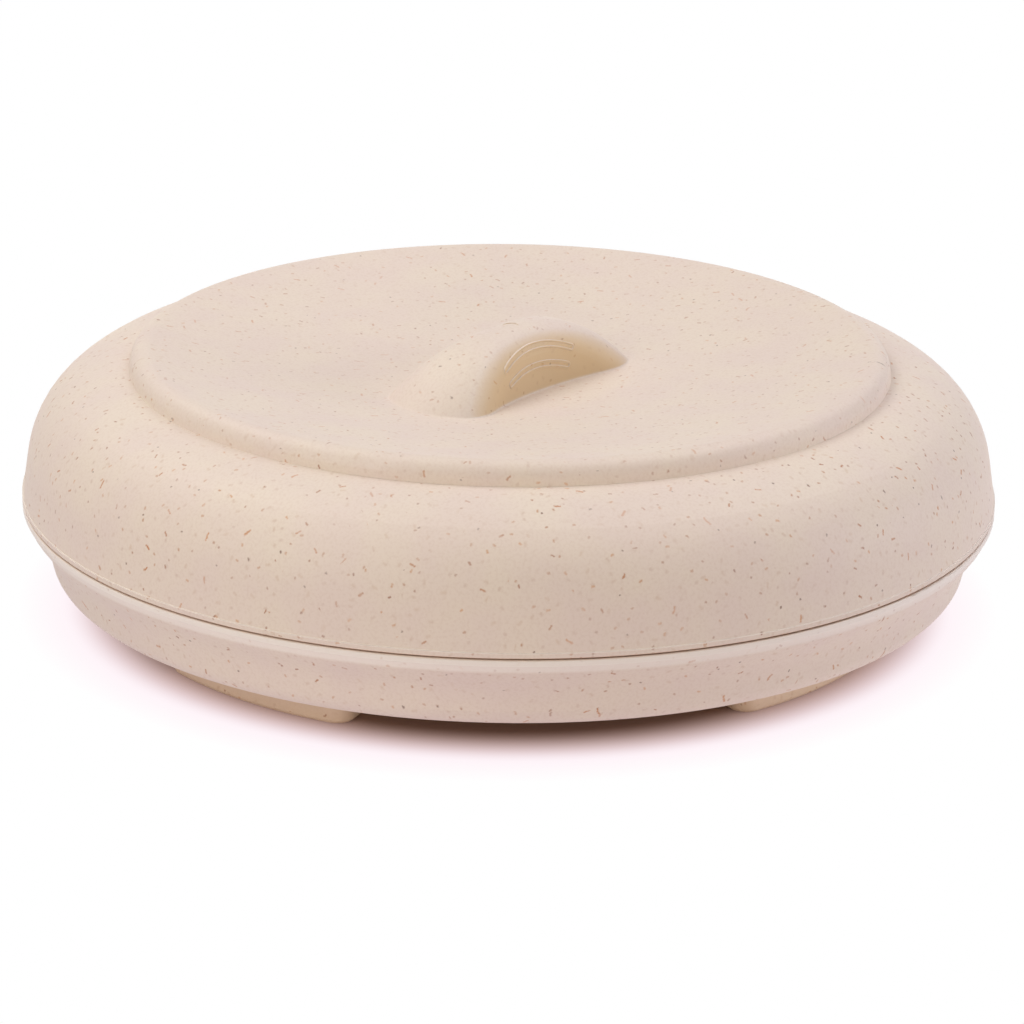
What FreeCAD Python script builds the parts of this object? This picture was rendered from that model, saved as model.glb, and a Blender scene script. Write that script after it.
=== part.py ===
import FreeCAD, Part
import math
import os

# Round tortilla warmer: a low base on four feet, and a puffed lid that lifts off it.
# Each half is double-walled: an outer shell and an inner liner that meet at the rim, with foam between.
# Frame: millimetres, +Z up, origin on the table under the middle of the warmer, +X along the handle.
# Most pieces are turned shapes. Their outlines are drawn as (radius, height) pairs and turned about Z.

# ---- Base: outside --------------------------------------------------------------------------------
rim_radius = 120.0            # of both halves, at the seam
base_height = 28.3            # table to the top of the base's rim
foot_height = 8.9             # table to the underside of the base's floor
base_band_height = 3.4        # band under the base's rim, down to its lower edge
base_band_taper = 1.0         # how much narrower the band's lower edge is than the rim
base_band_edge = 3.0          # rounding of the band's lower edge
base_undercut_angle = 37.0    # slope of the undercut below the band, from upright
base_undercut_round = 14.0    # hollow between the undercut and the wall
base_wall_inset = 7.8         # from the rim in to where the wall, carried on down, meets the floor
base_wall_draft = 12.0        # lean of the lower wall, from upright
base_corner_round = 5.5       # rounding between the wall and the floor

# ---- Base: feet -----------------------------------------------------------------------------------
foot_count = 4
foot_inset = 14.6             # from there in to the outer edge of a foot, on the table
foot_width = 13.6             # across a foot, measured along the radius
foot_span = 33.6              # degrees that a foot covers
foot_corner = 4.5             # plan rounding of a foot's corners
foot_draft = 5.0              # lean of a foot's sides, from upright
foot_edge = 1.0               # rounding round the foot's sole

# ---- Lid: outside ---------------------------------------------------------------------------------
skirt_draft = 8.85            # lean of the lid's lower wall, from upright
shoulder_height = 60.1        # top of the puffed shoulder
shoulder_side_round = 23.3    # radius of the shoulder's side, which runs on into the skirt
shoulder_top_drop = 0.9       # how far the side's arc alone would stay below the shoulder's top
shoulder_top_width = 2.9      # how far the shoulder's top lies inside the middle of the side's arc
step_inset = 26.6             # from the rim in to the step that rises out of the shoulder
step_draft = 10.0             # lean of the step, from upright
rim_rise = 5.1                # crest of the ring round the dish, above the shoulder
rim_round = 4.0               # rounding of that ring
dish_depth = 10.6             # middle of the dish, below the ring's crest

# ---- Lid: handle ----------------------------------------------------------------------------------
handle_height = 15.4          # crest of the handle above the middle of the dish
handle_reach = 38.2           # from the middle to where the arch comes down to the dish's middle
handle_fullness = 2.5         # exponent of the arch: 2 is a parabola, and more is flatter on top
handle_end_bow = 0.022        # how far the sides of each end are drawn back, per millimetre squared
handle_crown_radius = 60.0    # roundness across the top
handle_waist = 17.5           # width of the middle where it meets the dish
handle_scoop_radius = 60.0    # plan radius of the hollow in each side
handle_scoop_draft = 7.0      # lean of those sides, from upright
handle_edge = 7.2             # rounding between the top and the sides
handle_root = 0.7             # blend between the handle and the dish
gate_radius = 1.9             # shallow round mark on the crest, where the mould was filled
gate_depth = 0.25

# ---- Walls, fits and the space inside -------------------------------------------------------------
shell_wall = 2.4
liner_wall = 1.4              # also the thickness of each liner's rim, which shows beside the seam
seam_gap = 0.3                # between the lid's rim and the base's rim
seam_edge = 0.5               # rounding of both rims beside the seam
key_height = 1.5              # ring on each liner that fits inside its shell's edge
key_reach = 5.2               # from the rim's outer edge in to the bore of that ring
key_clearance = 0.2
base_foam = 6.0               # foam under the bowl's floor
lid_foam = 6.0                # foam under the middle of the dish
foam_clearance = 0.3          # all round each piece of foam
rim_width = 16.0              # from the rim's outer edge in to the mouth of the bowl
bowl_draft = 6.0
bowl_corner = 6.0
spigot_depth = 3.5            # ring under the lid that drops into the bowl and centres the lid
spigot_clearance = 0.5
hollow_draft = 8.0            # lean of the wall of the space under the lid
hollow_corner = 12.0

overrun = 1.0                 # how far a cutting tool passes beyond the solid that it cuts

# ---- Heights and radii that follow ----------------------------------------------------------------
base_floor_radius = rim_radius - base_wall_inset
foot_outer_radius = base_floor_radius - foot_inset
step_radius = rim_radius - step_inset
bowl_radius = rim_radius - rim_width
base_shell_top = base_height - liner_wall
shell_floor = foot_height + shell_wall
bowl_floor = shell_floor + foam_clearance + base_foam + foam_clearance + liner_wall
lid_bottom = base_height + seam_gap
lid_shell_bottom = lid_bottom + liner_wall
rim_height = shoulder_height + rim_rise
dish_low = rim_height - dish_depth
dish_underside = dish_low - shell_wall
hollow_ceiling = dish_underside - foam_clearance - lid_foam - foam_clearance - liner_wall
spigot_bottom = lid_bottom - spigot_depth
handle_crest = dish_low + handle_height


def slope(degrees):
    return math.tan(math.radians(degrees))


def leaning(degrees):
    """Direction (radius, height) of a wall that opens outwards by this angle as it rises."""
    return math.sin(math.radians(degrees)), math.cos(math.radians(degrees))


spigot_radius = bowl_radius - (base_height - spigot_bottom) * slope(bowl_draft) - spigot_clearance
hollow_radius = spigot_radius - liner_wall


# ---- Points and directions in the plane of an outline ---------------------------------------------
def moved(point, direction, distance):
    return point[0] + direction[0] * distance, point[1] + direction[1] * distance


def on_circle(centre, radius, degrees):
    return moved(centre, (math.cos(math.radians(degrees)), math.sin(math.radians(degrees))), radius)


def towards(start, end):
    length = math.dist(start, end)
    return (end[0] - start[0]) / length, (end[1] - start[1]) / length


def crossing(point, direction, other_point, other_direction):
    """Where two straight lines cross."""
    across = direction[0] * other_direction[1] - direction[1] * other_direction[0]
    apart = other_point[0] - point[0], other_point[1] - point[1]
    along = (apart[0] * other_direction[1] - apart[1] * other_direction[0]) / across
    return moved(point, direction, along)


def shifted_path(corners, distance, end_height):
    """Move each run of a path to its left by the distance, and end the path at end_height."""
    runs = []
    for start, end in zip(corners, corners[1:]):
        ahead = towards(start, end)
        left = -ahead[1], ahead[0]
        runs.append((moved(start, left, distance), ahead))
    inner_corners = [crossing(*run, *next_run) for run, next_run in zip(runs, runs[1:])]
    return [runs[0][0]] + inner_corners + [crossing(*runs[-1], (0, end_height), (1, 0))]


# ---- Edges and turned solids ----------------------------------------------------------------------
def vector(point):
    return FreeCAD.Vector(point[0], 0, point[1])


def line(start, end):
    return Part.LineSegment(vector(start), vector(end)).toShape()


def arc(start, middle, end):
    return Part.Arc(vector(start), vector(middle), vector(end)).toShape()


def rounded_corner(before, corner, after, radius):
    """The start, middle and end of the arc that rounds a corner."""
    back, ahead = towards(corner, before), towards(corner, after)
    inward = towards((0, 0), (back[0] + ahead[0], back[1] + ahead[1]))
    half_angle = math.acos(back[0] * ahead[0] + back[1] * ahead[1]) / 2
    cut_back = radius / math.tan(half_angle)
    to_arc = radius / math.sin(half_angle) - radius
    return moved(corner, back, cut_back), moved(corner, inward, to_arc), moved(corner, ahead, cut_back)


def rounded_path(corners, radii):
    """Edges along straight runs, with each corner between two runs rounded by its radius."""
    edges = []
    start = corners[0]
    for before, corner, after, radius in zip(corners, corners[1:], corners[2:], radii):
        enter, middle, leave = rounded_corner(before, corner, after, radius)
        edges += [line(start, enter), arc(enter, middle, leave)]
        start = leave
    return edges + [line(start, corners[-1])]


def turned(edges, axis_start, end_height):
    """Turn an outline about Z, closed by a level run at end_height and by the axis."""
    last = edges[-1].valueAt(edges[-1].LastParameter)
    closing = [line((last.x, end_height), (0, end_height)), line((0, end_height), (0, axis_start))]
    wire = Part.Wire(edges + closing)
    return Part.Face(wire).revolve(FreeCAD.Vector(0, 0, 0), FreeCAD.Vector(0, 0, 1), 360)


def cylinder(radius, low, high):
    return Part.makeCylinder(radius, high - low, FreeCAD.Vector(0, 0, low))


# ---- Base: turned spaces --------------------------------------------------------------------------
def filled_base(inset, top):
    """Everything inside the base's outside, shrunk by inset, cut off at the height top."""
    band_low = rim_radius - base_band_taper, base_height - base_band_height
    floor_edge = base_floor_radius, foot_height
    wall_top = crossing(band_low, leaning(base_undercut_angle), floor_edge, leaning(base_wall_draft))
    path = [(0, foot_height), floor_edge, wall_top, band_low, (rim_radius, base_height)]
    corner_rounds = [base_corner_round - inset, base_undercut_round + inset, base_band_edge - inset]
    edges = rounded_path(shifted_path(path, inset, base_height), corner_rounds)
    whole = turned(edges, foot_height + inset, base_height)
    return whole.common(cylinder(rim_radius + overrun, 0, top))


def filled_bowl(growth):
    """The space of the bowl, grown by growth, up to the rim."""
    mouth_edge = bowl_radius, base_height
    floor_edge = crossing(mouth_edge, leaning(bowl_draft), (0, bowl_floor), (1, 0))
    path = shifted_path([(0, bowl_floor), floor_edge, mouth_edge], -growth, base_height)
    return turned(rounded_path(path, [bowl_corner + growth]), bowl_floor - growth, base_height)


# ---- Base: feet -----------------------------------------------------------------------------------
def foot(inset):
    """One foot on +X, shrunk by inset, from its sole up into the base's floor."""
    plan = {
        "outer": foot_outer_radius - inset,
        "inner": foot_outer_radius - foot_width + inset,
        "half_span": math.radians(foot_span / 2) - inset / foot_outer_radius,
        "corner": foot_corner - inset,
    }
    widening = (shell_floor - inset) * slope(foot_draft)
    top_plan = {
        "outer": plan["outer"] + widening,
        "inner": plan["inner"] - widening,
        "half_span": plan["half_span"] + widening / foot_outer_radius,
        "corner": plan["corner"] + widening,
    }
    return Part.makeLoft([bent_bar(inset, **plan), bent_bar(shell_floor, **top_plan)], True, True)


def bent_bar(height, outer, inner, half_span, corner):
    """Level outline of a bar that is bent round the axis and has rounded corners."""
    def at(radius, angle):
        return FreeCAD.Vector(radius * math.cos(angle), radius * math.sin(angle), height)

    def corner_points(radius, inward, side):
        """A corner's rounding, from the long edge to the end."""
        short = corner * (1 - math.sqrt(0.5))
        return [at(radius, side * (half_span - corner / radius)),
                at(radius + inward * short, side * (half_span - short / radius)),
                at(radius + inward * corner, side * half_span)]

    outer_right, outer_left = corner_points(outer, -1, -1), corner_points(outer, -1, 1)
    inner_right, inner_left = corner_points(inner, 1, -1), corner_points(inner, 1, 1)
    return Part.Wire([
        Part.Arc(outer_right[0], at(outer, 0), outer_left[0]).toShape(),
        Part.Arc(*outer_left).toShape(),
        Part.LineSegment(outer_left[2], inner_left[2]).toShape(),
        Part.Arc(*reversed(inner_left)).toShape(),
        Part.Arc(inner_left[0], at(inner, 0), inner_right[0]).toShape(),
        Part.Arc(*inner_right).toShape(),
        Part.LineSegment(inner_right[2], outer_right[2]).toShape(),
        Part.Arc(*reversed(outer_right)).toShape(),
    ])


def solid_foot():
    bar = foot(0)
    sole_edges = [edge for edge in bar.Edges if edge.BoundBox.ZMax < foot_edge / 2]
    return bar.makeFillet(foot_edge, sole_edges)


def around_axis(piece):
    """One copy of the piece for each foot, spread evenly round the axis."""
    copies = []
    for index in range(foot_count):
        copy = piece.copy()
        copy.rotate(FreeCAD.Vector(0, 0, 0), FreeCAD.Vector(0, 0, 1), index * 360 / foot_count)
        copies.append(copy)
    return copies


# ---- Base: pieces ---------------------------------------------------------------------------------
def base_outer_shell():
    outside = filled_base(0, base_shell_top).fuse(around_axis(solid_foot()))
    inside = filled_base(shell_wall, base_shell_top)
    foot_pockets = around_axis(foot(shell_wall))
    return outside.cut([inside] + foot_pockets)


def base_insulation():
    foam_top = base_shell_top - key_height - foam_clearance
    block = filled_base(shell_wall + foam_clearance, foam_top)
    return block.cut(filled_bowl(liner_wall + foam_clearance))


def base_inner_liner():
    rim = seam_rounded(cylinder(rim_radius, base_shell_top, base_height), base_height)
    key_space = filled_base(shell_wall + key_clearance, base_shell_top)
    key_low = base_shell_top - key_height
    key = key_space.common(key_tube(rim_radius, key_low, base_shell_top))
    return rim.fuse([filled_bowl(liner_wall), key]).cut(filled_bowl(0))


def seam_rounded(rim, seam_height):
    """Round the outer edge of a rim on its seam side."""
    edges = [edge for edge in rim.Edges
             if edge.BoundBox.ZLength < seam_edge and abs(edge.BoundBox.ZMax - seam_height) < seam_edge]
    return rim.makeFillet(seam_edge, edges)


def key_tube(rim_radius, low, high):
    return cylinder(rim_radius, low, high).cut(cylinder(rim_radius - key_reach, low, high))


# ---- Lid: turned spaces ---------------------------------------------------------------------------
def shoulder_side_centre():
    """Middle of the shoulder's side arc, placed so that the skirt runs on from it to the seam."""
    inward, upward = leaning(skirt_draft)
    height = shoulder_height - shoulder_top_drop - shoulder_side_round
    radius = rim_radius - (shoulder_side_round + (height - lid_bottom) * inward) / upward
    return radius, height


def shoulder_top_arc():
    """Middle and radius of the wider arc over the shoulder, which runs on from the side arc."""
    side_radius, side_height = shoulder_side_centre()
    widening = (shoulder_top_width ** 2 / shoulder_top_drop + shoulder_top_drop) / 2
    top_round = shoulder_side_round + widening
    return (side_radius - shoulder_top_width, shoulder_height - top_round), top_round


def rim_centre():
    """Middle of the rounding of the ring round the dish, which touches the step."""
    inward, upward = leaning(step_draft)
    height = rim_height - rim_round
    above_step_foot = height - shoulder_height
    return step_radius - (rim_round + above_step_foot * inward) / upward, height


def dish_centre():
    """Middle of the dish's arc, which starts level at the axis and touches the ring's rounding."""
    radius, height = rim_centre()
    drop = height - dish_low
    dish_radius = (radius ** 2 + drop ** 2 - rim_round ** 2) / (2 * (drop + rim_round))
    return 0, dish_low + dish_radius


def step_foot(inset):
    """Where the step's wall rises out of the shoulder's top arc, both shrunk by inset."""
    across, up = leaning(step_draft)[::-1]
    ring_middle, (arc_middle, top_round) = rim_centre(), shoulder_top_arc()
    apart = (ring_middle[0] - arc_middle[0]) * across + (ring_middle[1] - arc_middle[1]) * up
    turn = math.acos((rim_round - inset + apart) / (top_round - inset))
    return on_circle(arc_middle, top_round - inset, step_draft + math.degrees(turn))


def shoulder_edges(inset, bottom):
    """The shoulder's two arcs and the skirt, from the step's foot down to the height bottom."""
    side_middle, (top_middle, top_round) = shoulder_side_centre(), shoulder_top_arc()
    side_round, top_round = shoulder_side_round - inset, top_round - inset
    meeting = math.degrees(math.atan2(side_middle[1] - top_middle[1], side_middle[0] - top_middle[0]))
    start = step_foot(inset)
    start_turn = math.degrees(math.atan2(start[1] - top_middle[1], start[0] - top_middle[0]))
    arcs_meet = on_circle(side_middle, side_round, meeting)
    skirt_top = on_circle(side_middle, side_round, skirt_draft)
    skirt_foot = crossing(skirt_top, leaning(-skirt_draft), (0, bottom), (1, 0))
    return [
        arc(start, on_circle(top_middle, top_round, (start_turn + meeting) / 2), arcs_meet),
        arc(arcs_meet, on_circle(side_middle, side_round, (meeting + skirt_draft) / 2), skirt_top),
        line(skirt_top, skirt_foot),
    ]


def filled_lid(inset, bottom):
    """Everything inside the lid's outside, shrunk by inset, down to the height bottom."""
    ring_middle, dish_middle = rim_centre(), dish_centre()
    ring_round = rim_round - inset
    dish_end = moved(ring_middle, towards(ring_middle, dish_middle), ring_round)
    dish_radius = math.dist(dish_end, dish_middle)
    half_turn = math.degrees(math.asin(dish_end[0] / dish_radius)) / 2
    step_top = on_circle(ring_middle, ring_round, step_draft)
    edges = [
        arc((0, dish_low - inset), on_circle(dish_middle, dish_radius, half_turn - 90), dish_end),
        arc(dish_end, on_circle(ring_middle, ring_round, 90), step_top),
        line(step_top, step_foot(inset)),
    ]
    return turned(edges + shoulder_edges(inset, bottom), dish_low - inset, bottom)


def filled_hollow(growth):
    """The space under the lid, grown by growth, down to the seam."""
    seam_point = hollow_radius, lid_bottom
    ceiling_edge = crossing(seam_point, leaning(-hollow_draft), (0, hollow_ceiling), (1, 0))
    path = shifted_path([(0, hollow_ceiling), ceiling_edge, seam_point], growth, lid_bottom)
    return turned(rounded_path(path, [hollow_corner + growth]), hollow_ceiling + growth, lid_bottom)


# ---- Lid: handle ----------------------------------------------------------------------------------
def handle_top(x, y, inset):
    """Height of the handle's arched top, or of the hollow under it."""
    along = (abs(x) + handle_end_bow * y ** 2) / (handle_reach - 2 * inset)
    crown = y ** 2 / (2 * handle_crown_radius)
    return dish_low + (handle_height - inset) * (1 - along ** handle_fullness) - crown


def handle_block(inset, floor):
    """The arch, shrunk by inset, with both sides hollowed out, down to the height floor."""
    half_length = handle_reach + overrun
    scoop_bulge = handle_scoop_radius - math.sqrt(handle_scoop_radius ** 2 - half_length ** 2)
    half_width = handle_waist / 2 + scoop_bulge + overrun
    length_steps, width_steps = 24, 12
    grid = []
    for i in range(length_steps + 1):
        x = half_length * (2 * i / length_steps - 1)
        across = [half_width * (2 * j / width_steps - 1) for j in range(width_steps + 1)]
        grid.append([FreeCAD.Vector(x, y, handle_top(x, y, inset)) for y in across])
    arch = Part.BSplineSurface()
    arch.interpolate(grid)
    block = arch.toShape().extrude(FreeCAD.Vector(0, 0, -2 * handle_height))
    block = block.common(cylinder(2 * half_length, floor, handle_crest + overrun))
    return block.cut([handle_scoop(1, inset), handle_scoop(-1, inset)])


def handle_scoop(side, inset):
    """The large cone, wider at the top, that hollows one side of the handle."""
    half_depth = 2 * handle_height
    widening = half_depth * slope(handle_scoop_draft)
    radius = handle_scoop_radius + inset
    centre = FreeCAD.Vector(0, side * (handle_waist / 2 + handle_scoop_radius), dish_low - half_depth)
    return Part.makeCone(radius - widening, radius + widening, 2 * half_depth, centre)


def rounded_handle(inset, floor):
    """The handle with its long edges rounded, shrunk by inset, down to the height floor."""
    block = handle_block(inset, floor)
    long_edges = [edge for edge in block.Edges
                  if edge.BoundBox.XLength > handle_reach and edge.BoundBox.ZLength > handle_height / 2]
    return block.makeFillet(handle_edge - inset, long_edges)


def root_edges(lid):
    """The edges along which the handle stands on the dish."""
    edges = []
    for edge in lid.Edges:
        box = edge.BoundBox
        reach = max(abs(box.XMin), abs(box.XMax), abs(box.YMin), abs(box.YMax))
        if reach < handle_reach + overrun and box.ZMax < dish_low + handle_height / 2:
            edges.append(edge)
    return edges


# ---- Lid: pieces ----------------------------------------------------------------------------------
def lid_outer_shell():
    outside = filled_lid(0, lid_shell_bottom).fuse(rounded_handle(0, dish_low - shell_wall / 2))
    outside = outside.makeFillet(handle_root, root_edges(outside))
    handle_hollow = rounded_handle(shell_wall, dish_underside - overrun)
    inside = filled_lid(shell_wall, lid_shell_bottom).fuse(handle_hollow)
    gate_mark = cylinder(gate_radius, handle_crest - gate_depth, handle_crest + overrun)
    return outside.cut([inside, gate_mark])


def lid_insulation():
    foam_bottom = lid_shell_bottom + key_height + foam_clearance
    block = filled_lid(shell_wall + foam_clearance, foam_bottom)
    return block.cut(filled_hollow(liner_wall + foam_clearance))


def lid_inner_liner():
    rim = seam_rounded(cylinder(rim_radius, lid_bottom, lid_shell_bottom), lid_bottom)
    key_space = filled_lid(shell_wall + key_clearance, lid_shell_bottom)
    key_top = lid_shell_bottom + key_height
    key = key_space.common(key_tube(rim_radius, lid_shell_bottom, key_top))
    spigot = cylinder(spigot_radius, spigot_bottom, lid_bottom)
    spigot_bore = cylinder(hollow_radius, spigot_bottom, lid_bottom)
    return rim.fuse([filled_hollow(liner_wall), key, spigot]).cut([filled_hollow(0), spigot_bore])


pieces = {
    "base_outer_shell": base_outer_shell,
    "base_insulation": base_insulation,
    "base_inner_liner": base_inner_liner,
    "lid_outer_shell": lid_outer_shell,
    "lid_insulation": lid_insulation,
    "lid_inner_liner": lid_inner_liner,
}

os.makedirs("parts", exist_ok=True)
for node, make_piece in pieces.items():
    make_piece().exportStep("parts/" + node + ".step")
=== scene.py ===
# %% [markdown]
# # A flecked tortilla warmer
#
# The warmer is a round, double-walled dish with a puffed lid, moulded from cream plastic that is
# filled with short plant fibres. The solids come ready made from the frame. This scene gives them
# their finish, adds the raised grip marks on the handle, and sets up the camera and the light.

# %% Load the frame
import bpy
import math
from mathutils import Matrix, Vector


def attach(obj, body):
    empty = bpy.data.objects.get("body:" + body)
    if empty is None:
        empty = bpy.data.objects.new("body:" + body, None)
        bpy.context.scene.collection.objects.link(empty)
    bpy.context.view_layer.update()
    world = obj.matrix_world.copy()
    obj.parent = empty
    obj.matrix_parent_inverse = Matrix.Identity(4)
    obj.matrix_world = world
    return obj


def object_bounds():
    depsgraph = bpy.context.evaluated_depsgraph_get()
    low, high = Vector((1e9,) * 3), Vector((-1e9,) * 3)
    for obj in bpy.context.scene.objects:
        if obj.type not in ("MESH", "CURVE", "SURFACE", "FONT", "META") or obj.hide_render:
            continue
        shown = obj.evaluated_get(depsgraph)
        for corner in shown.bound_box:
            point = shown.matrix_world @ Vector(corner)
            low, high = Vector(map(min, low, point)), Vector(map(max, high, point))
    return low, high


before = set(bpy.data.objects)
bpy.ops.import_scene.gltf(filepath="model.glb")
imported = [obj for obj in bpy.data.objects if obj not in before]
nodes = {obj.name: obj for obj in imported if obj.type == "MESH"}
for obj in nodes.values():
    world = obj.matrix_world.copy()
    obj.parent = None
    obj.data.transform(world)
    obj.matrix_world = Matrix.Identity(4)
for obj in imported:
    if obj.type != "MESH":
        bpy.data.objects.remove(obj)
cad_low, cad_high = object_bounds()
size_mm = [round((high - low) * 1000, 1) for low, high in zip(cad_low, cad_high)]
print("pieces:", sorted(nodes), "size in mm:", size_mm)

# %% [markdown]
# ## Colours and shader nodes
#
# Colours are read as sRGB hex values, the way a paint program shows them. Blender works in linear
# light, so one function converts them. A second small function adds a shader node, sets its options
# and fills its inputs, where an input is either a plain value or another node's output.


# %% Helpers for colours and nodes
def colour(hex_value):
    """An sRGB hex colour as linear red, green, blue and alpha."""
    channels = [int(hex_value[i:i + 2], 16) / 255 for i in (1, 3, 5)]
    linear = [c / 12.92 if c <= 0.04045 else ((c + 0.055) / 1.055) ** 2.4 for c in channels]
    return (*linear, 1.0)


def add(tree, kind, inputs=None, output=None, **options):
    """Add a node, set its options, fill its inputs, and return one output (the first in use)."""
    node = tree.nodes.new(kind)
    for name, value in options.items():
        setattr(node, name, value)
    for name, value in (inputs or {}).items():
        socket = node.inputs[name] if isinstance(name, int) else in_use(node.inputs, name)
        if isinstance(value, bpy.types.NodeSocket):
            tree.links.new(value, socket)
        else:
            socket.default_value = value
    if output:
        return node.outputs[output]
    return next((socket for socket in node.outputs if socket.enabled), None)


def in_use(sockets, name):
    """The socket of that name that the node's options leave switched on."""
    return next(socket for socket in sockets if socket.name == name and socket.enabled)


print("cream in linear light:", [round(c, 3) for c in colour("#E6D6CA")])

# %% Short names for a millimetre and for the kinds of node that are used most
mm = 0.001
maths, vectors, map_range = "ShaderNodeMath", "ShaderNodeVectorMath", "ShaderNodeMapRange"
noise, mix, coordinates = "ShaderNodeTexNoise", "ShaderNodeMix", "ShaderNodeTexCoord"
print("one millimetre is", mm, "metres")

# %% [markdown]
# ## Fibres in the plastic
#
# The filler is chopped plant fibre: short brown threads that lie every way just under the skin. Dots
# of noise would look like sand, so each mark is drawn as a thread. A Voronoi texture scatters one
# point per cell. A random direction per cell, laid flat on the surface, gives the thread its lie, and
# the distance to a short, slightly bent line through the point gives it a round-ended shape. Chopped
# straw has no clean outline, so a fine noise makes that distance uneven.
#
# The pattern is a node group, so that every layer of fibres shares it with sizes of its own.

# %% The group's inputs and outputs
threads = bpy.data.node_groups.new("scattered threads", "ShaderNodeTree")
thread_inputs = ("Cell", "Length", "Width", "Blur", "Share", "Seed")
for name in thread_inputs:
    threads.interface.new_socket(name, in_out="INPUT", socket_type="NodeSocketFloat")
for name in ("Mask", "Tint"):
    threads.interface.new_socket(name, in_out="OUTPUT", socket_type="NodeSocketFloat")
given = threads.nodes.new("NodeGroupInput").outputs
print("thread pattern takes:", thread_inputs)

# %% One point per cell, and dice that are thrown once for each point
place = add(threads, coordinates, output="Object")
shift = add(threads, "ShaderNodeCombineXYZ", {"X": given["Seed"], "Y": given["Seed"]})
point = add(threads, vectors, {0: place, 1: shift}, operation="ADD")
per_metre = add(threads, maths, {0: 1.0, 1: given["Cell"]}, operation="DIVIDE")
cells = add(threads, "ShaderNodeTexVoronoi", {"Vector": point, "Scale": per_metre}).node.outputs
middle = cells["Position"]
dice = add(threads, "ShaderNodeTexWhiteNoise", {"Vector": middle}, "Color")
dice = add(threads, "ShaderNodeSeparateColor", {0: dice}).node.outputs
tint = add(threads, "ShaderNodeTexWhiteNoise", {"Vector": middle}, "Value")
print("dice for each point:", [die.name for die in dice])

# %% The way each thread lies, flat on the surface
up = add(threads, coordinates, output="Normal")
lie = add(threads, vectors, {0: cells["Color"], 1: (0.5, 0.5, 0.5)}, operation="SUBTRACT")
along = add(threads, vectors, {0: up, 1: lie}, operation="CROSS_PRODUCT")
along = add(threads, vectors, {0: along}, operation="NORMALIZE")
across = add(threads, vectors, {0: up, 1: along}, operation="CROSS_PRODUCT")
offset = add(threads, vectors, {0: point, 1: middle}, operation="SUBTRACT")
run = add(threads, vectors, {0: offset, 1: along}, "Value", operation="DOT_PRODUCT")
aside = add(threads, vectors, {0: offset, 1: across}, "Value", operation="DOT_PRODUCT")
print("thread pattern so far:", len(threads.nodes), "nodes")

# %% How far a spot is from its thread's bent line
shortest_half, longest_half = 0.1, 0.5      # half a thread, as shares of the layer's length
most_bend = 150.0                           # per metre: ends 0.75 mm from the middle drift by 0.08 mm

stretch = {0: dice["Red"], 1: longest_half - shortest_half, 2: shortest_half}
stretch = add(threads, maths, stretch, operation="MULTIPLY_ADD")
half_length = add(threads, maths, {0: given["Length"], 1: stretch}, operation="MULTIPLY")
beyond = add(threads, maths, {0: run}, operation="ABSOLUTE")
beyond = add(threads, maths, {0: beyond, 1: half_length}, operation="SUBTRACT")
beyond = add(threads, maths, {0: beyond, 1: 0.0}, operation="MAXIMUM")
bend = {0: dice["Green"], 1: 2 * most_bend, 2: -most_bend}
bend = add(threads, maths, bend, operation="MULTIPLY_ADD")
run_squared = add(threads, maths, {0: run, 1: run}, operation="MULTIPLY")
aside = add(threads, maths, {0: run_squared, 1: bend, 2: aside}, operation="MULTIPLY_ADD")
distance = add(threads, "ShaderNodeCombineXYZ", {"X": beyond, "Y": aside})
distance = add(threads, vectors, {0: distance}, "Value", operation="LENGTH")
print("thread lengths, as shares of the layer's:", 2 * shortest_half, "to", 2 * longest_half)

# %% Ragged edges
ragged_size = 0.5 * mm
ragged = add(threads, noise, {"Vector": point, "Scale": 1 / ragged_size, "Detail": 1.0}, "Fac")
ragged = add(threads, maths, {0: ragged, 1: 0.5}, operation="SUBTRACT")
ragged = {0: ragged, 1: ragged_size, 2: distance}
distance = add(threads, maths, ragged, operation="MULTIPLY_ADD")
print("ragged edges, size in mm:", ragged_size / mm)

# %% Draw the threads, and keep a share of them
half_width = add(threads, maths, {0: given["Width"], 1: 0.5}, operation="MULTIPLY")
outer = add(threads, maths, {0: half_width, 1: given["Blur"]}, operation="ADD")
inner = add(threads, maths, {0: half_width, 1: given["Blur"]}, operation="SUBTRACT")
drawn = {"Value": distance, "From Min": outer, "From Max": inner}
drawn = add(threads, map_range, drawn, interpolation_type="SMOOTHSTEP")
kept = add(threads, maths, {0: dice["Blue"], 1: given["Share"]}, operation="LESS_THAN")
mask = add(threads, maths, {0: drawn, 1: kept}, operation="MULTIPLY")
add(threads, "NodeGroupOutput", {"Mask": mask, "Tint": tint})
print("thread pattern:", len(threads.nodes), "nodes")

# %% [markdown]
# ## Fibre-filled polypropylene
#
# This is injection-moulded polypropylene with milled straw in it. The mould is lightly blasted, so the
# skin is satin: broad, soft highlights and no mirror images. The cream is a little uneven where the
# fibres bunched up while the plastic flowed, and the finest filler gives it a faint powdery grain.
# Polypropylene bends light by about 1.49.
#
# A painted picture could carry these tones, but it would have to be wrapped round the solids. Noise
# with a size in millimetres needs no wrapping and stays sharp from near by, so each tone is such a
# noise, mixed over the colour before it.

# %% The cream: a little cloudy, and powdery
cloud_size = 16 * mm
powder_size = 0.7 * mm                      # the real powder is finer, and this is coarse enough to show

plastic = bpy.data.materials.new("fibre-filled polypropylene")
plastic.use_nodes = True
tree = plastic.node_tree
shader = tree.nodes["Principled BSDF"]
place = add(tree, coordinates, output="Object")

cloudy = add(tree, noise, {"Vector": place, "Scale": 1 / cloud_size, "Detail": 3.0}, "Fac")
patch = add(tree, map_range, {"Value": cloudy, "From Min": 0.35, "From Max": 0.65})
cream = {"Factor": patch, "A": colour("#E6D6CA"), "B": colour("#E8DACA")}
cream = add(tree, mix, cream, data_type="RGBA")

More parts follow.
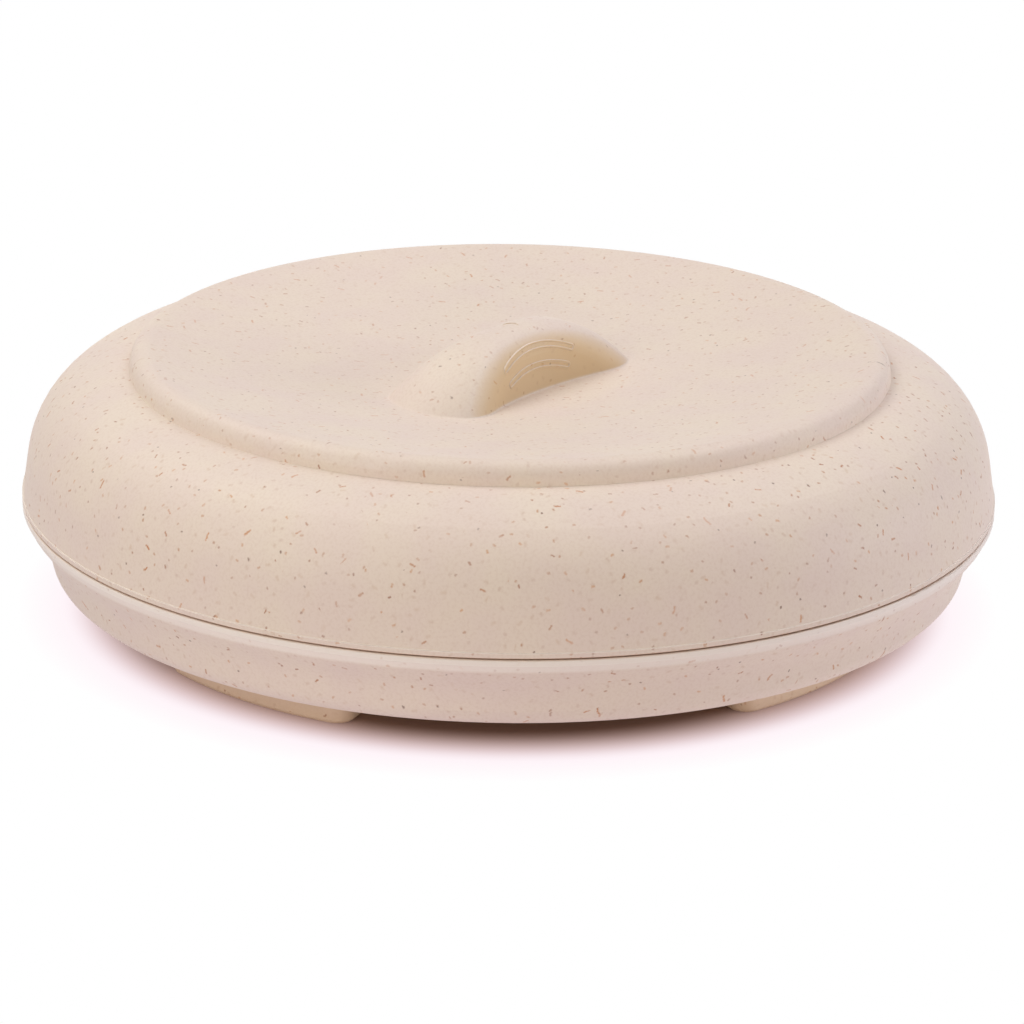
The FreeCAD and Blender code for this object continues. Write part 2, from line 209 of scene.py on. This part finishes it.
powder = add(tree, noise, {"Vector": place, "Scale": 1 / powder_size, "Detail": 2.0}, "Fac")
powder = add(tree, map_range, {"Value": powder, "From Min": 0.45, "From Max": 0.75, "To Max": 0.22})
skin = {"Factor": powder, "A": cream, "B": colour("#CDB39E")}
skin = add(tree, mix, skin, data_type="RGBA")
print("cream: clouds of", cloud_size / mm, "mm and powder of", powder_size / mm, "mm")

# %% [markdown]
# ## Painted golden shade on the feet and the handle's flanks
#
# The plastic lets a little light through. In the shade of the feet and the hollow flanks of the handle,
# light that has come through the plastic and bounced off it makes them look deeper and more golden,
# and this warm shade is painted into the colour. Subsurface scattering would be the physical way to
# get this, but in walls this thin it lets red light out at the back first and leaves the plastic
# greenish, so the tone is painted by place instead.

# %% How far a spot is from the middle, and how steeply it stands
spot = add(tree, "ShaderNodeSeparateXYZ", {"Vector": place}).node.outputs
from_axis = add(tree, "ShaderNodeCombineXYZ", {"X": spot["X"], "Y": spot["Y"]})
from_axis = add(tree, vectors, {0: from_axis}, "Value", operation="LENGTH")
facing = add(tree, coordinates, output="Normal")
facing = add(tree, "ShaderNodeSeparateXYZ", {"Vector": facing}, "Y")
facing = add(tree, maths, {0: facing}, operation="ABSOLUTE")
print("plastic so far:", len(tree.nodes), "nodes")

# %% Painted golden shade on the feet and the flanks of the handle
feet = {"Value": spot["Z"], "From Min": 8.8 * mm, "From Max": 7.0 * mm, "To Max": 0.5}
feet = add(tree, map_range, feet)
within = add(tree, map_range, {"Value": from_axis, "From Min": 44 * mm, "From Max": 38 * mm})
raised = add(tree, map_range, {"Value": spot["Z"], "From Min": 53 * mm, "From Max": 55 * mm})
steep = add(tree, map_range, {"Value": facing, "From Min": 0.62, "From Max": 0.95})
flank = add(tree, maths, {0: within, 1: raised}, operation="MULTIPLY")
flank = add(tree, maths, {0: flank, 1: steep}, operation="MULTIPLY")
# painted golden shade: the feet and the handle's steep flanks are painted deeper and more golden, for the
# warm light in their shade
painted_golden_shade = add(tree, maths, {0: feet, 1: flank}, operation="MAXIMUM")
skin = {"Factor": painted_golden_shade, "A": skin, "B": colour("#DFC49C")}
skin = add(tree, mix, skin, data_type="RGBA")
print("plastic with its golden places:", len(tree.nodes), "nodes")

# %% [markdown]
# ## Four layers of threads
#
# The flecks are of four kinds: pale ones buried deep, short chips at the skin, the longer straws, and a
# few dark bits of husk. They crowd together where the cream is cloudy. The plastic enters the mould at
# the middle and carries the fibres outward, so they show less on the dish than on the shoulder and the
# wall.

# %% The layers
thread_layers = [
    # cell, length, width and blur in mm, share, seed, strength, first colour, second colour
    (4.2, 0.8, 0.60, 0.34, 0.55, 0.11, 0.26, "#A8785C", "#BE9460"),
    (5.0, 0.5, 0.44, 0.23, 0.55, 0.23, 0.68, "#94501F", "#CC8A38"),
    (8.4, 1.5, 0.42, 0.19, 0.55, 0.00, 0.85, "#8A4618", "#C87C28"),
    (14.0, 0.3, 0.40, 0.17, 0.55, 0.37, 0.85, "#5A3018", "#7A4A28"),
]
print("layers of threads:", len(thread_layers))

# %% Where the fibres crowd, and where the skin is calm
sparse_share, dish_share = 0.5, 0.7         # how strongly threads show there, against the most
crowd = add(tree, map_range, {"Value": patch, "To Min": sparse_share, "To Max": 1.0})
calm = {"Value": from_axis, "From Min": 76 * mm, "From Max": 100 * mm, "To Min": dish_share}
calm = add(tree, map_range, calm)
crowd = add(tree, maths, {0: crowd, 1: calm}, operation="MULTIPLY")
print("threads on the dish show at least", sparse_share * dish_share, "as strongly as on the wall")

# %% Lay the threads over the skin
for cell, length, width, blur, share, seed, strength, first, second in thread_layers:
    layer = add(tree, "ShaderNodeGroup", node_tree=threads).node
    given_values = (cell * mm, length * mm, width * mm, blur * mm, share, seed)
    for name, value in zip(thread_inputs, given_values):
        layer.inputs[name].default_value = value
    fibre = {"Factor": layer.outputs["Tint"], "A": colour(first), "B": colour(second)}
    fibre = add(tree, mix, fibre, data_type="RGBA")
    amount = add(tree, maths, {0: layer.outputs["Mask"], 1: strength}, operation="MULTIPLY")
    amount = add(tree, maths, {0: amount, 1: crowd}, operation="MULTIPLY")
    skin = add(tree, mix, {"Factor": amount, "A": skin, "B": fibre}, data_type="RGBA")
print("plastic with its threads:", len(tree.nodes), "nodes")

# %% [markdown]
# ## Painted light beside the seam
#
# The seam has painted tones of light of its own, on the outside only. Just below it a paler band is
# painted, a painted highlight where the band catches more light than the cove below it. The edges of the
# two rims have a painted golden glow beside the dark gap, for light that has come through them. Where the
# liners are joined to the shells, on both sides of the seam, a painted highlight draws a hairline of
# paler plastic all the way round, where the small edge at each joint catches light.

# %% Painted golden glow at the rims and painted highlight hairlines at the joints
outside = {"Value": from_axis, "From Min": 118 * mm, "From Max": 119.5 * mm}
outside = add(tree, map_range, outside)
painted_seam_light = [
    # height, half height and fade in mm, strength, colour
    (28.45, 0.16, 0.28, 0.80, "#C08440"),       # painted golden glow at the rims' edges, for light that passes through
    (26.90, 0.05, 0.17, 0.55, "#F8F2EA"),       # painted highlight hairline at the base's joint
    (30.00, 0.05, 0.17, 0.55, "#F8F2EA"),       # painted highlight hairline at the lid's joint
]
# Each line paints light: the golden glow at the rims and the pale highlight hairlines at the joints.
for height, half_height, fade, strength, line_colour in painted_seam_light:
    line = add(tree, maths, {0: spot["Z"], 1: height * mm}, operation="SUBTRACT")
    line = add(tree, maths, {0: line}, operation="ABSOLUTE")
    line = {"Value": line, "From Min": half_height * mm, "From Max": (half_height + fade) * mm,
            "To Min": strength, "To Max": 0.0}
    line = add(tree, map_range, line)
    line = add(tree, maths, {0: line, 1: outside}, operation="MULTIPLY")
    skin = {"Factor": line, "A": skin, "B": colour(line_colour)}
    skin = add(tree, mix, skin, data_type="RGBA")
print("lines at the seam:", len(painted_seam_light))

# %% A painted highlight: the paler band below the seam
above_cove = {"Value": spot["Z"], "From Min": 24.6 * mm, "From Max": 25.4 * mm, "To Max": 0.7}
above_cove = add(tree, map_range, above_cove)
below_seam = {"Value": spot["Z"], "From Min": 28.5 * mm, "From Max": 28.4 * mm}
below_seam = add(tree, map_range, below_seam)
painted_band_highlight = add(tree, maths, {0: above_cove, 1: below_seam}, operation="MULTIPLY")
painted_band_highlight = add(tree, maths, {0: painted_band_highlight, 1: outside}, operation="MULTIPLY")
# painted highlight: the band below the seam is painted paler, for the light its face catches above the
# shaded cove
skin = {"Factor": painted_band_highlight, "A": skin, "B": colour("#F8F2EA")}
skin = add(tree, mix, skin, data_type="RGBA")
tree.links.new(skin, shader.inputs["Base Color"])
print("plastic with its whole colour:", len(tree.nodes), "nodes")

# %% [markdown]
# ## A satin surface
#
# A blasted mould leaves a grain that is too fine to see one by one, and the plastic shrinks a little
# unevenly as it cools. Both are shallow bumps: they only soften the highlights, so they stay in the
# material and need no mesh.

# %% Grain, waves and gloss
grain_size, grain_depth = 0.5 * mm, 0.02 * mm      # the real grain is finer, and this is drawn to show
wave_size, wave_depth = 9 * mm, 0.05 * mm

grain = add(tree, noise, {"Vector": place, "Scale": 1 / grain_size, "Detail": 2.0}, "Fac")
flow = add(tree, noise, {"Vector": place, "Scale": 1 / wave_size, "Detail": 1.0}, "Fac")
waves = add(tree, "ShaderNodeBump", {"Height": flow, "Strength": 0.5, "Distance": wave_depth})
bumps = {"Height": grain, "Normal": waves, "Strength": 0.5, "Distance": grain_depth}
bumps = add(tree, "ShaderNodeBump", bumps)
tree.links.new(bumps, shader.inputs["Normal"])
shader.inputs["Roughness"].default_value = 0.56
shader.inputs["IOR"].default_value = 1.49
print("plastic:", len(tree.nodes), "nodes")

# %% [markdown]
# ## Foam
#
# Both halves are filled with expanded foam that nobody sees once the liner is in. It is plain white,
# with no skin to shine. Its cells could be drawn with a Voronoi bump, but inside closed walls a plain
# matt white is enough.

# %% The foam's material
foam = bpy.data.materials.new("expanded foam")
foam.use_nodes = True
foam_shader = foam.node_tree.nodes["Principled BSDF"]
foam_shader.inputs["Base Color"].default_value = colour("#F1F0EC")
foam_shader.inputs["Roughness"].default_value = 0.9
print("foam roughness:", round(foam_shader.inputs["Roughness"].default_value, 2))

# %% Each piece's finish
for node in nodes:
    nodes[node].data.materials.clear()
    nodes[node].data.materials.append(foam if node.endswith("insulation") else plastic)
    print(node, "is made of", nodes[node].data.materials[0].name)

# %% [markdown]
# ## Grip marks
#
# Two thin raised loops, one over the other, are moulded into each hollow side of the handle so that
# the fingers hold. Each loop is a long oval that is bent like a smile turned over. Its points are set
# out on a flat oval, bent along an arc, and carried sideways onto the handle's flank, wherever that
# lies. A thin round bead follows them, half sunk into the plastic. A bump in the material could fake
# the loops, but beads of real mesh also catch the light from the side.

# %% Sizes of the marks, in millimetres
bead_radius = 0.30
oval_half_width = 0.68
bend_radius = 31.0
grip_loops = [
    # name, height of the top of the arc, half length
    ("low", 61.1, 11.2),
    ("high", 65.9, 13.1),
]
turn_step = 15                  # degrees from point to point round an oval's ends
side_steps = 16                 # steps along each of its long sides
beside_handle = 40              # where a ray starts that looks for the flank
print("grip loops:", [name for name, _, _ in grip_loops])


# %% The shape of a loop
def bent_oval(arc_top, half_length):
    """Points (x, z) round a long oval whose middle line is an arc."""
    flat = []
    for end, first_turn in ((1, -90), (-1, 90)):
        for turn in range(first_turn, first_turn + 181, turn_step):
            out, across = math.cos(math.radians(turn)), math.sin(math.radians(turn))
            flat.append((end * half_length + oval_half_width * out, oval_half_width * across))
        for step in range(1, side_steps):
            flat.append((end * half_length * (1 - 2 * step / side_steps), end * oval_half_width))
    centre = arc_top - bend_radius
    return [((bend_radius + aside) * math.sin(run / bend_radius),
             centre + (bend_radius + aside) * math.cos(run / bend_radius)) for run, aside in flat]


def on_flank(side, x, z):
    """The point on the handle's flank at this x and height."""
    found, point, _, _ = nodes["lid_outer_shell"].ray_cast(
        Vector((x, side * beside_handle, z)) * mm, Vector((0, -side, 0)))
    assert found
    return point


print("points round a loop:", len(bent_oval(*grip_loops[0][1:])))

# %% Beads along the loops
for side, side_name in ((1, "left"), (-1, "right")):
    for loop_name, arc_top, half_length in grip_loops:
        curve = bpy.data.curves.new("grip_bead", "CURVE")
        curve.dimensions = "3D"
        curve.bevel_depth = bead_radius * mm
        curve.bevel_resolution = 2
        path = bent_oval(arc_top, half_length)
        spline = curve.splines.new("POLY")
        spline.points.add(len(path) - 1)
        spline.use_cyclic_u = True
        for place_on_path, (x, z) in zip(spline.points, path):
            place_on_path.co = (*on_flank(side, x, z), 1)
        pattern = bpy.data.objects.new("grip_bead", curve)
        bead = bpy.data.objects.new("grip_mark_" + loop_name + "_" + side_name,
                                    bpy.data.meshes.new_from_object(pattern))
        bpy.data.objects.remove(pattern)
        bpy.context.scene.collection.objects.link(bead)
        bead.data.shade_smooth()
        bead.data.materials.clear()
        bead.data.materials.append(plastic)
        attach(bead, "lid")
print("grip marks:", 2 * len(grip_loops))

# %% [markdown]
# ## Camera
#
# The view is a long lens about a metre away, looking down by 19 degrees across the handle. A long lens
# keeps the round shape calm, where a wide one would swell the front.

# %% Where the camera stands and looks
heading = math.radians(-51.1)               # where it stands round the warmer, and 0 looks along +Y
view_distance = 1.0261                      # metres from the warmer's axis, measured on the table
view_height = 0.3804
view_azimuth = -51.15                       # degrees, which way it looks
look_down = 19.283                          # degrees below the horizon
camera_roll = 0.74
print("the camera stands", view_distance, "m away and", view_height, "m high")

# %% Place the camera
camera_data = bpy.data.cameras.new("camera")
camera_data.sensor_width = 36.0
camera_data.lens = 153.67
camera_data.clip_start, camera_data.clip_end = 0.05, 20.0
camera = bpy.data.objects.new("camera", camera_data)
bpy.context.scene.collection.objects.link(camera)
across_x, across_y = math.sin(heading), -math.cos(heading)
camera.location = (view_distance * across_x, view_distance * across_y, view_height)
camera.rotation_euler = (
    Matrix.Rotation(math.radians(view_azimuth), 3, "Z")
    @ Matrix.Rotation(math.radians(90 - look_down), 3, "X")
    @ Matrix.Rotation(math.radians(camera_roll), 3, "Z")
).to_euler()
bpy.context.scene.camera = camera
print("camera at", [round(v, 3) for v in camera.location], "with a lens of", round(camera_data.lens), "mm")

# %% [markdown]
# ## Table
#
# The table is a sheet of white paper under so much light that it shows as pure white. Only the
# shadow under the warmer stays, so the sheet is plain paper there and turns into even white within a
# few centimetres of the base. In the shadow the paper's own colour is a warm brown, a painted warm shade
# that darkens and warms the shadow, and the glow at its edge has a painted pink tint.
#
# The Light Path node tells apart which ray asks. The camera and the gloss on the plastic see pure
# white. Soft light that the sheet throws back at the warmer is a little weaker, as real paper's is.

# %% The sheet
sheet_half = 4                              # metres from the middle to an edge
table_corners = [(x * sheet_half, y * sheet_half, 0) for x, y in ((-1, -1), (1, -1), (1, 1), (-1, 1))]
table_mesh = bpy.data.meshes.new("table")
table_mesh.from_pydata(table_corners, [], [(0, 1, 2, 3)])
table = bpy.data.objects.new("table", table_mesh)
bpy.context.scene.collection.objects.link(table)
print("table:", 2 * sheet_half, "m across")

# %% Paper painted warm brown: a painted warm shade for the shadow
paper = bpy.data.materials.new("white paper")
paper.use_nodes = True
tree = paper.node_tree
paper_shader = tree.nodes["Principled BSDF"]
# painted warm shade: the paper near the warmer is a warm brown, so its shadow comes out darker and warmer
paper_shader.inputs["Base Color"].default_value = colour("#A88C7C")
paper_shader.inputs["Roughness"].default_value = 0.9
paper_shader.inputs["Specular IOR Level"].default_value = 0.0
table_mesh.materials.append(paper)
print("paper roughness:", round(paper_shader.inputs["Roughness"].default_value, 2))

# %% Bright paper, away from the shadow
place = add(tree, coordinates, output="Object")
reach = add(tree, vectors, {0: place}, "Value", operation="LENGTH")
rays = add(tree, "ShaderNodeLightPath").node.outputs
direct = {0: rays["Is Camera Ray"], 1: rays["Is Glossy Ray"]}
direct = add(tree, maths, direct, operation="MAXIMUM")
bright = {"Value": reach, "From Min": 91 * mm, "From Max": 111 * mm}
bright = add(tree, map_range, bright, interpolation_type="SMOOTHSTEP")
clear = add(tree, map_range, {"Value": reach, "From Min": 104 * mm, "From Max": 122 * mm})
clear = add(tree, maths, {0: clear, 1: direct}, operation="MULTIPLY")
# painted pink tint in the glow at the shadow's edge, fading to white further out
glow_colour = {"Factor": bright, "A": colour("#F6CFC6"), "B": colour("#FFEFF6")}
glow_colour = add(tree, mix, glow_colour, data_type="RGBA")
glow_colour = {"Factor": clear, "A": glow_colour, "B": colour("#FFFFFF")}
glow_colour = add(tree, mix, glow_colour, data_type="RGBA")
glow = add(tree, map_range, {"Value": direct, "To Min": 0.68, "To Max": 1.0})
white = add(tree, "ShaderNodeEmission", {"Color": glow_colour, "Strength": glow})
sheet_look = {0: bright, 1: paper_shader.outputs[0], 2: white}
sheet_look = add(tree, "ShaderNodeMixShader", sheet_look)
tree.links.new(sheet_look, tree.nodes["Material Output"].inputs["Surface"])
print("white paper:", len(tree.nodes), "nodes")

# %% [markdown]
# ## Room and lamps
#
# The room is white only for the camera and for the rays that gloss and glass send out. It gives the
# plastic almost no light of its own: that comes from five soft boxes, two in front, two high at the
# back and one low on the right, and from the sheet below. Large lamps give the broad, soft shading
# that shows how full the lid is.

# %% The white room
world = bpy.data.worlds.new("white room")
world.use_nodes = True
bpy.context.scene.world = world
tree = world.node_tree
backdrop = tree.nodes["Background"]
rays = add(tree, "ShaderNodeLightPath").node.outputs
direct = {0: rays["Is Camera Ray"], 1: rays["Is Glossy Ray"]}
direct = add(tree, maths, direct, operation="MAXIMUM")
direct = add(tree, maths, {0: direct, 1: rays["Is Transmission Ray"]}, operation="MAXIMUM")
room_light = add(tree, map_range, {"Value": direct, "To Min": 0.02, "To Max": 1.0})
backdrop.inputs["Color"].default_value = (1, 1, 1, 1)
tree.links.new(room_light, backdrop.inputs["Strength"])
print("white room:", len(tree.nodes), "nodes")


# %% A soft box
def softbox(name, azimuth, elevation, distance, size, watts, tint):
    """A square lamp that looks at the warmer. Azimuth 0 is over the camera, 90 is on its right."""
    lamp = bpy.data.lights.new(name, "AREA")
    lamp.size = size
    lamp.energy = watts
    lamp.color = colour(tint)[:3]
    lamp_object = bpy.data.objects.new(name, lamp)
    turn = heading + math.radians(azimuth)
    lift = math.radians(elevation)
    away = Vector((math.sin(turn) * math.cos(lift), -math.cos(turn) * math.cos(lift), math.sin(lift)))
    lamp_object.location = away * distance
    lamp_object.rotation_euler = away.to_track_quat("Z", "Y").to_euler()
    bpy.context.scene.collection.objects.link(lamp_object)
    print(name, "soft box:", watts, "W")


# %% The five soft boxes
softbox("front left", azimuth=-45, elevation=32, distance=1.3, size=0.7, watts=5.9, tint="#FFFCF6")
softbox("back left", azimuth=-120, elevation=60, distance=1.3, size=0.8, watts=7.8, tint="#FFFAF8")
softbox("back right", azimuth=120, elevation=60, distance=1.3, size=0.8, watts=6.4, tint="#FCF8FE")
softbox("right", azimuth=90, elevation=11, distance=1.3, size=0.45, watts=5.0, tint="#F6F7FF")
softbox("front", azimuth=5, elevation=6, distance=1.3, size=0.26, watts=2.9, tint="#FFF1DC")

# %% [markdown]
# ## Finish
#
# The scene's standard view transform shows colours as they are written.

# %% Set the view transform
bpy.context.scene.view_settings.view_transform = "Standard"
